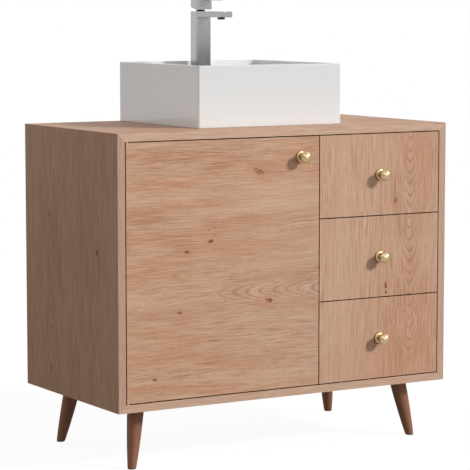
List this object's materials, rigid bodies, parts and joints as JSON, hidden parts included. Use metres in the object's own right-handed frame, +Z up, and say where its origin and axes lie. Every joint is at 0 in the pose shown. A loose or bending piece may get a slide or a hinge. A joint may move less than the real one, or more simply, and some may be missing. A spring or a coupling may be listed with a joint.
{
  "type": "bathroom vanity with vessel sink",
  "caption": "Freestanding wooden bathroom vanity on splayed legs, with a door, drawers, turned knobs, a rectangular vessel sink and a square lever faucet.",
  "frame": {"origin": "on the floor, under the middle of the object's bounding box", "axes": "+Z up, the front with the knobs faces -Y, +X to the right seen from the front"},
  "size_m": [0.914, 0.516, 1.09],
  "materials": {
    "oak": "satin lacquer",
    "board": "satin lacquer",
    "dowel": "plain beech",
    "leg_wood": "satin lacquer",
    "knob_brass": "satin",
    "hinge_brass": "plain",
    "ceramic": "gloss glaze",
    "faucet_metal": "satin",
    "drain_chrome": "polished",
    "zinc_steel": "zinc plated",
    "nylon": "matte",
    "black_plastic": "matte",
    "cartridge_plastic": "moulded",
    "silicone": "soft"
  },
  "bodies": {
    "cabinet": {"top_panel": "oak", "bottom_panel": "oak", "left_side_panel": "oak", "right_side_panel": "oak", "centre_partition": "board", "back_panel": "board", "wall_rail": "board", "mitre_dowels": "dowel", "shelf": "board", "shelf_pins": "zinc_steel", "leg_front_left": "leg_wood", "leg_front_right": "leg_wood", "leg_back_left": "leg_wood", "leg_back_right": "leg_wood", "leg_plates": "zinc_steel", "leg_fasteners": "zinc_steel", "leg_glides": "nylon", "cabinet_hinge_leaves": "hinge_brass", "door_catch": "black_plastic", "cabinet_slide_rails": "zinc_steel", "sink_basin": "ceramic", "rubber_seals": "silicone", "drain_body": "drain_chrome", "drain_nut": "drain_chrome", "drain_tailpiece": "drain_chrome", "faucet_body": "faucet_metal", "aerator": "faucet_metal", "faucet_cartridge": "cartridge_plastic", "faucet_mounting_stud": "zinc_steel", "faucet_clamp": "zinc_steel"},
    "door": {"door_panel": "oak", "door_knob": "knob_brass", "door_hinge_leaves": "hinge_brass", "door_strike_plate": "zinc_steel"},
    "drain_plug_body": {"drain_plug": "drain_chrome"},
    "faucet_swivel": {"faucet_collar": "black_plastic", "tilt_pin": "zinc_steel"},
    "faucet_lever": {"faucet_handle": "faucet_metal", "cartridge_stem": "hinge_brass"},
    "drawer_1": {"drawer_1_front": "oak", "drawer_1_sides": "board", "drawer_1_back": "board", "drawer_1_bottom": "board", "drawer_1_knob": "knob_brass", "drawer_1_slide_inners": "zinc_steel"},
    "drawer_1_slides": {"drawer_1_slide_middles": "zinc_steel"},
    "drawer_2": {"drawer_2_front": "oak", "drawer_2_sides": "board", "drawer_2_back": "board", "drawer_2_bottom": "board", "drawer_2_knob": "knob_brass", "drawer_2_slide_inners": "zinc_steel"},
    "drawer_2_slides": {"drawer_2_slide_middles": "zinc_steel"},
    "drawer_3": {"drawer_3_front": "oak", "drawer_3_sides": "board", "drawer_3_back": "board", "drawer_3_bottom": "board", "drawer_3_knob": "knob_brass", "drawer_3_slide_inners": "zinc_steel"},
    "drawer_3_slides": {"drawer_3_slide_middles": "zinc_steel"}
  },
  "joints": [
    {"name": "door_hinge", "type": "hinge", "parent": "cabinet", "child": "door", "pos_m": [-0.431, -0.2195, 0.4635], "axis": [0, 0, -1], "range_deg": [0, 105]},
    {"name": "drawer_1_pull", "type": "slide", "parent": "cabinet", "child": "drawer_1", "axis": [0, -1, 0], "range_m": [0, 0.38]},
    {"name": "drawer_1_slide_travel", "type": "slide", "parent": "cabinet", "child": "drawer_1_slides", "axis": [0, -1, 0], "range_m": [0, 0.19]},
    {"name": "drawer_2_pull", "type": "slide", "parent": "cabinet", "child": "drawer_2", "axis": [0, -1, 0], "range_m": [0, 0.38]},
    {"name": "drawer_2_slide_travel", "type": "slide", "parent": "cabinet", "child": "drawer_2_slides", "axis": [0, -1, 0], "range_m": [0, 0.19]},
    {"name": "drawer_3_pull", "type": "slide", "parent": "cabinet", "child": "drawer_3", "axis": [0, -1, 0], "range_m": [0, 0.38]},
    {"name": "drawer_3_slide_travel", "type": "slide", "parent": "cabinet", "child": "drawer_3_slides", "axis": [0, -1, 0], "range_m": [0, 0.19]},
    {"name": "faucet_turn", "type": "hinge", "parent": "cabinet", "child": "faucet_swivel", "pos_m": [0, 0.192, 1.049], "axis": [0, 0, 1], "range_deg": [-45, 45]},
    {"name": "lever_lift", "type": "hinge", "parent": "faucet_swivel", "child": "faucet_lever", "pos_m": [0, 0.192, 1.0583], "axis": [-1, 0, 0], "range_deg": [0, 16]},
    {"name": "plug_rise", "type": "slide", "parent": "cabinet", "child": "drain_plug_body", "axis": [0, 0, 1], "range_m": [0, 0.008]}
  ],
  "couplings": [
    {"joint": "drawer_1_slide_travel", "follows": "drawer_1_pull", "ratio": 0.5},
    {"joint": "drawer_2_slide_travel", "follows": "drawer_2_pull", "ratio": 0.5},
    {"joint": "drawer_3_slide_travel", "follows": "drawer_3_pull", "ratio": 0.5}
  ]
}
